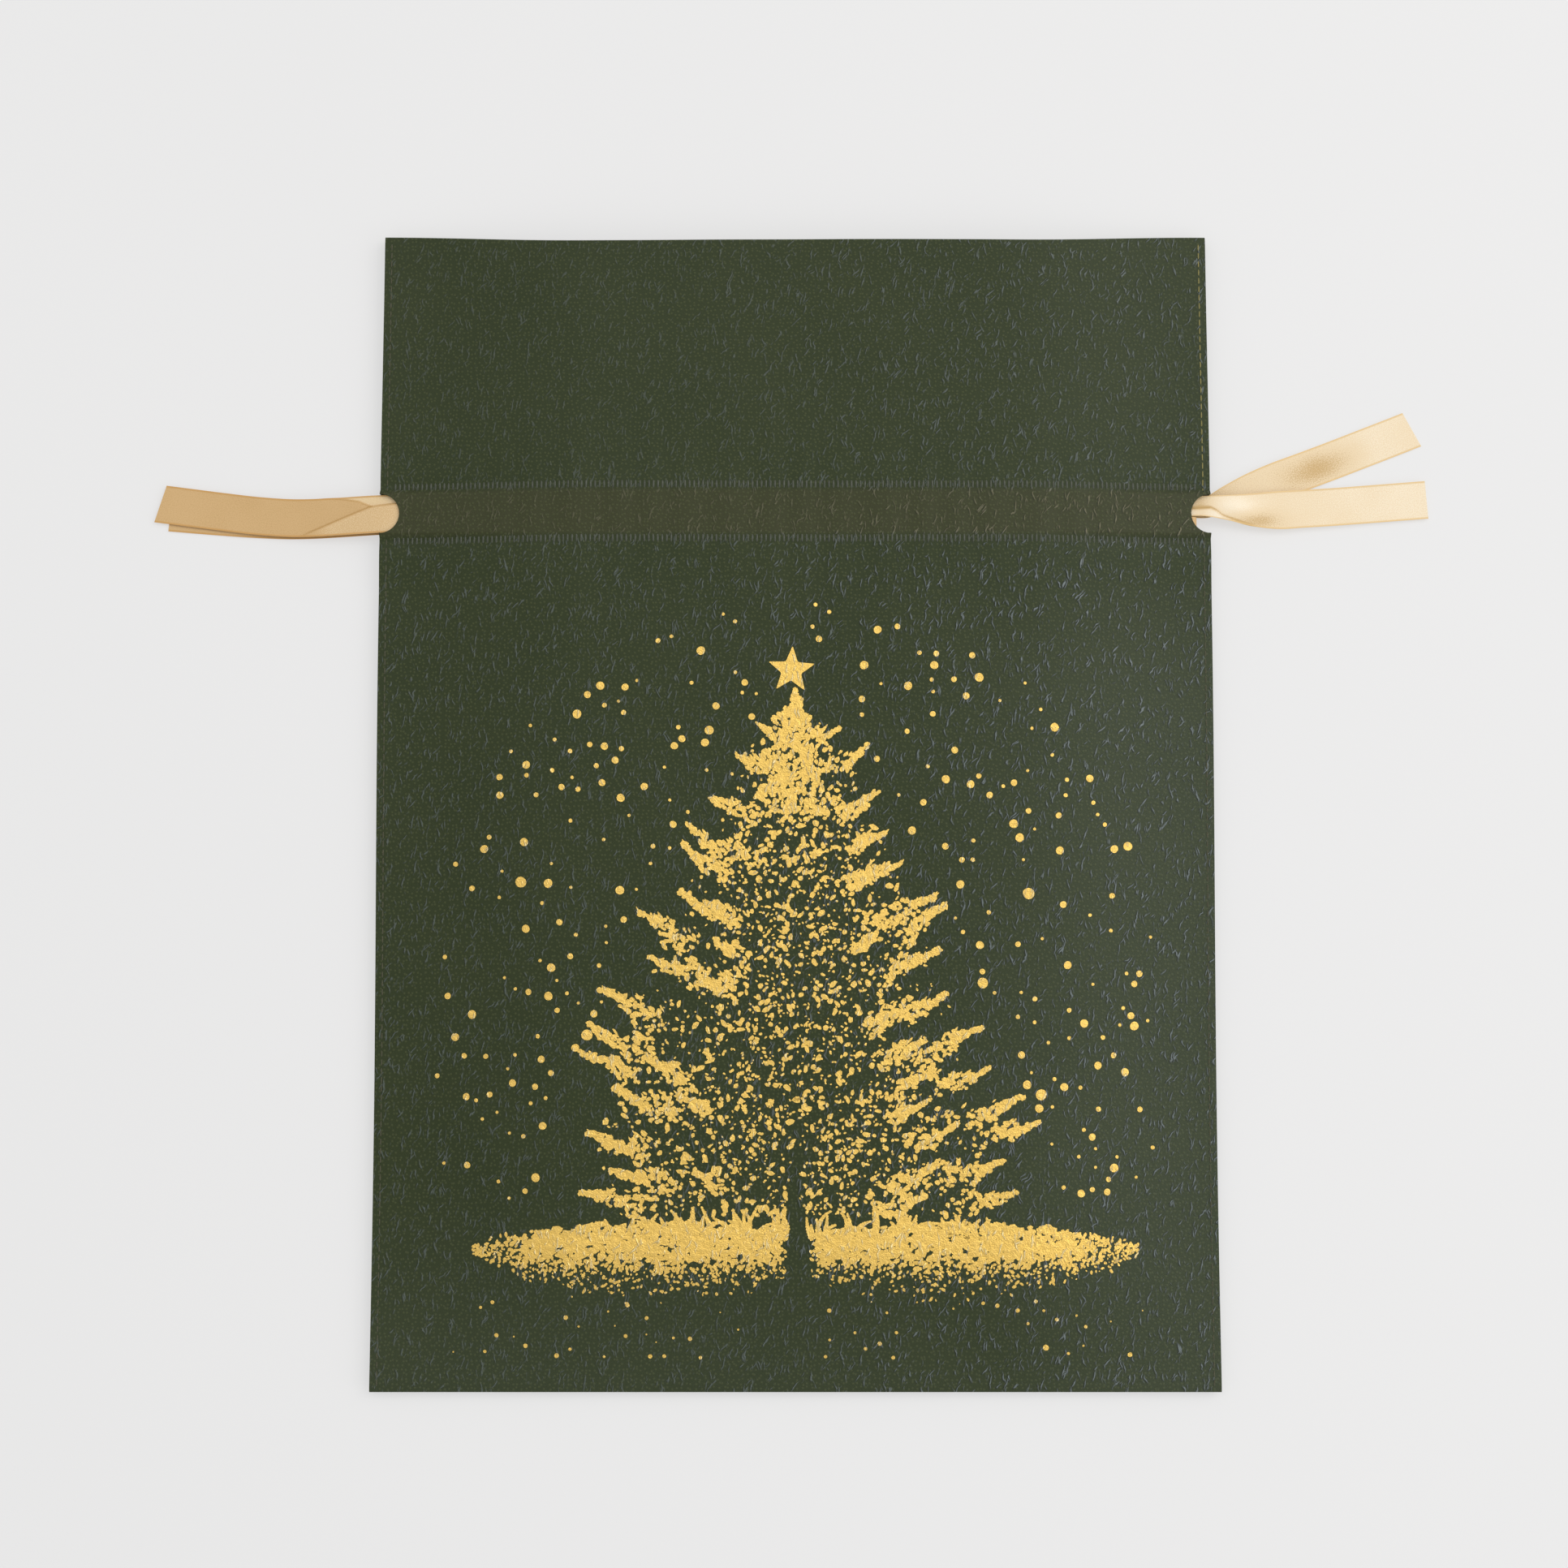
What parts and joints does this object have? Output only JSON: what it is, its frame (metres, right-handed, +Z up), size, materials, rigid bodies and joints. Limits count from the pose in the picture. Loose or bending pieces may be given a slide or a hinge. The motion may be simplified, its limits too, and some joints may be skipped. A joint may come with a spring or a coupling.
{
  "type": "fabric gift sack",
  "caption": "Flat non-woven gift sack with a turned-in hem, a ribbon channel, side notches and a double satin drawstring.",
  "frame": {"origin": "centre of the sack's outline, on the surface that the back wall lies on", "axes": "+X across the sack to the right as seen from the printed side, +Y from the bottom fold to the mouth, +Z up out of the printed side"},
  "size_m": [0.3999, 0.36, 0.0095],
  "materials": {
    "cloth": "embossed non-woven, dark olive green",
    "welds": "pressed and fused non-woven",
    "thread": "twisted sewing thread, olive",
    "foil": "hot-stamped gold foil",
    "satin": "satin ribbon, pale gold"
  },
  "bodies": {
    "sack": {"front_panel": "cloth", "back_panel": "cloth", "front_hem": "cloth", "back_hem": "cloth", "front_channel_welds": "welds", "back_channel_welds": "welds", "left_side_stitching": "thread", "right_side_stitching": "thread", "foil_print": "foil"},
    "left_ribbon": {"left_ribbon_loop": "satin", "left_ribbon_front_tail": "satin", "left_ribbon_back_tail": "satin"},
    "right_ribbon": {"right_ribbon_loop": "satin", "right_ribbon_front_tail": "satin", "right_ribbon_back_tail": "satin"}
  },
  "joints": [
    {"name": "left_ribbon_pull", "type": "slide", "parent": "sack", "child": "left_ribbon", "axis": [-1, 0, 0], "range_m": [0, 0.1], "deforming": ["left_ribbon_loop"]},
    {"name": "right_ribbon_pull", "type": "slide", "parent": "sack", "child": "right_ribbon", "axis": [1, 0, 0], "range_m": [0, 0.1], "deforming": ["right_ribbon_loop"]}
  ]
}
